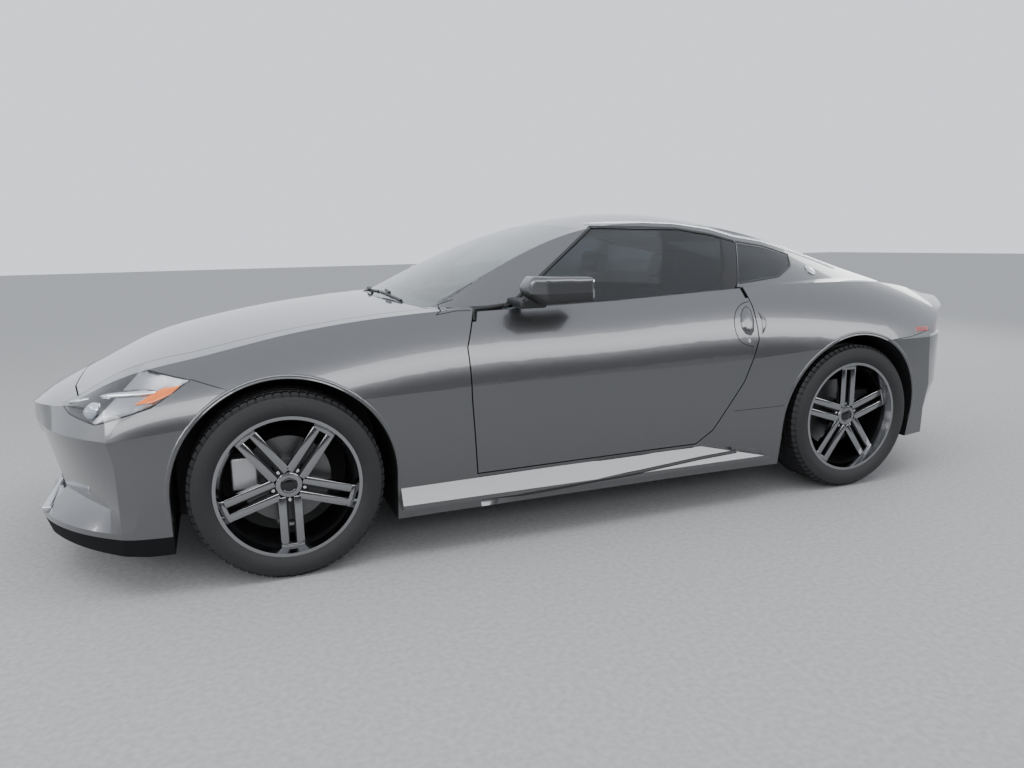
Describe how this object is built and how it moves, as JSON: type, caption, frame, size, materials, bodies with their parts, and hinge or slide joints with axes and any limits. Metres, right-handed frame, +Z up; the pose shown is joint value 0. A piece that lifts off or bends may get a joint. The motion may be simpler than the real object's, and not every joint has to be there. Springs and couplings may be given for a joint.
{
  "type": "coupe car",
  "caption": "Two-door fastback coupe car with opening doors, bonnet and hatch, steered front wheels and rolling wheels.",
  "frame": {"origin": "on the ground, under the middle of the car's length and width", "axes": "+X towards the tail, +Y to the right-hand side, +Z up"},
  "size_m": [4.38, 2.01, 1.309],
  "materials": {
    "body_paint": "metallic clearcoat",
    "tinted_glass": "tinted",
    "clear_glass": "polished",
    "lamp_lens": "polished",
    "tail_lamp_red": "gloss",
    "black_plastic": "satin",
    "wheel_alloy": "dark machined",
    "tyre_rubber": "matte",
    "disc_iron": "turned",
    "cast_alloy": "cast",
    "black_steel": "satin",
    "engine_alloy": "cast",
    "exhaust_steel": "brushed",
    "seat_leather": "grained",
    "steering_leather": "grained"
  },
  "bodies": {
    "body": {"body_shell": "body_paint", "dashboard": "black_plastic", "engine_and_gearbox": "engine_alloy", "exhaust": "exhaust_steel", "front_bumper": "body_paint", "front_fender_left": "body_paint", "front_fender_right": "body_paint", "front_splitter": "black_plastic", "front_subframe": "black_steel", "grille": "black_plastic", "headlamps": "lamp_lens", "quarter_glass": "tinted_glass", "rear_axle": "black_steel", "rear_bumper": "body_paint", "rear_diffuser": "black_plastic", "roof_panel": "body_paint", "seat_left": "seat_leather", "seat_right": "seat_leather", "side_skirts": "body_paint", "tail_lamps": "tail_lamp_red", "windscreen": "clear_glass"},
    "bonnet": {"hood": "body_paint"},
    "tailgate": {"hatch": "body_paint", "rear_glass": "tinted_glass"},
    "left_door": {"door_left": "body_paint", "door_glass_left": "tinted_glass", "mirror_left": "black_plastic"},
    "right_door": {"door_right": "body_paint", "door_glass_right": "tinted_glass", "mirror_right": "black_plastic"},
    "left_steering_knuckle": {"knuckle_front_left": "cast_alloy"},
    "right_steering_knuckle": {"knuckle_front_right": "cast_alloy"},
    "steering_wheel": {"steering_wheel": "steering_leather"},
    "front_left_wheel": {"wheel_front_left": "wheel_alloy", "tyre_front_left": "tyre_rubber", "brake_disc_front_left": "disc_iron"},
    "front_right_wheel": {"wheel_front_right": "wheel_alloy", "tyre_front_right": "tyre_rubber", "brake_disc_front_right": "disc_iron"},
    "rear_left_wheel": {"wheel_rear_left": "wheel_alloy", "tyre_rear_left": "tyre_rubber", "brake_disc_rear_left": "disc_iron"},
    "rear_right_wheel": {"wheel_rear_right": "wheel_alloy", "tyre_rear_right": "tyre_rubber", "brake_disc_rear_right": "disc_iron"}
  },
  "joints": [
    {"name": "bonnet_hinge", "type": "hinge", "parent": "body", "child": "bonnet", "pos_m": [-0.698, 0, 0.945], "axis": [0, 1, 0], "range_deg": [0, 55]},
    {"name": "tailgate_hinge", "type": "hinge", "parent": "body", "child": "tailgate", "pos_m": [0.855, 0, 1.253], "axis": [0, -1, 0], "range_deg": [0, 65]},
    {"name": "left_door_hinge", "type": "hinge", "parent": "body", "child": "left_door", "pos_m": [-0.607, -0.912, 0.6], "axis": [0, 0, -1], "range_deg": [0, 65]},
    {"name": "right_door_hinge", "type": "hinge", "parent": "body", "child": "right_door", "pos_m": [-0.607, 0.912, 0.6], "axis": [0, 0, 1], "range_deg": [0, 65]},
    {"name": "left_steering", "type": "hinge", "parent": "body", "child": "left_steering_knuckle", "pos_m": [-1.285, -0.758, 0.339], "axis": [0, 0, 1], "range_deg": [-33, 33]},
    {"name": "right_steering", "type": "hinge", "parent": "body", "child": "right_steering_knuckle", "pos_m": [-1.285, 0.758, 0.339], "axis": [0, 0, 1], "range_deg": [-33, 33]},
    {"name": "steering_wheel_turn", "type": "hinge", "parent": "body", "child": "steering_wheel", "pos_m": [-0.33, -0.385, 0.79], "axis": [0.9272, 0, 0.3746], "range_deg": [-480, 480]},
    {"name": "front_left_roll", "type": "hinge", "parent": "left_steering_knuckle", "child": "front_left_wheel", "pos_m": [-1.285, -0.78, 0.339], "axis": [0, 1, 0], "continuous": true},
    {"name": "front_right_roll", "type": "hinge", "parent": "right_steering_knuckle", "child": "front_right_wheel", "pos_m": [-1.285, 0.78, 0.339], "axis": [0, 1, 0], "continuous": true},
    {"name": "rear_left_roll", "type": "hinge", "parent": "body", "child": "rear_left_wheel", "pos_m": [1.265, -0.78, 0.339], "axis": [0, 1, 0], "continuous": true},
    {"name": "rear_right_roll", "type": "hinge", "parent": "body", "child": "rear_right_wheel", "pos_m": [1.265, 0.78, 0.339], "axis": [0, 1, 0], "continuous": true}
  ],
  "couplings": [
    {"joint": "right_steering", "follows": "left_steering", "ratio": 1},
    {"joint": "steering_wheel_turn", "follows": "left_steering", "ratio": 14.5}
  ]
}
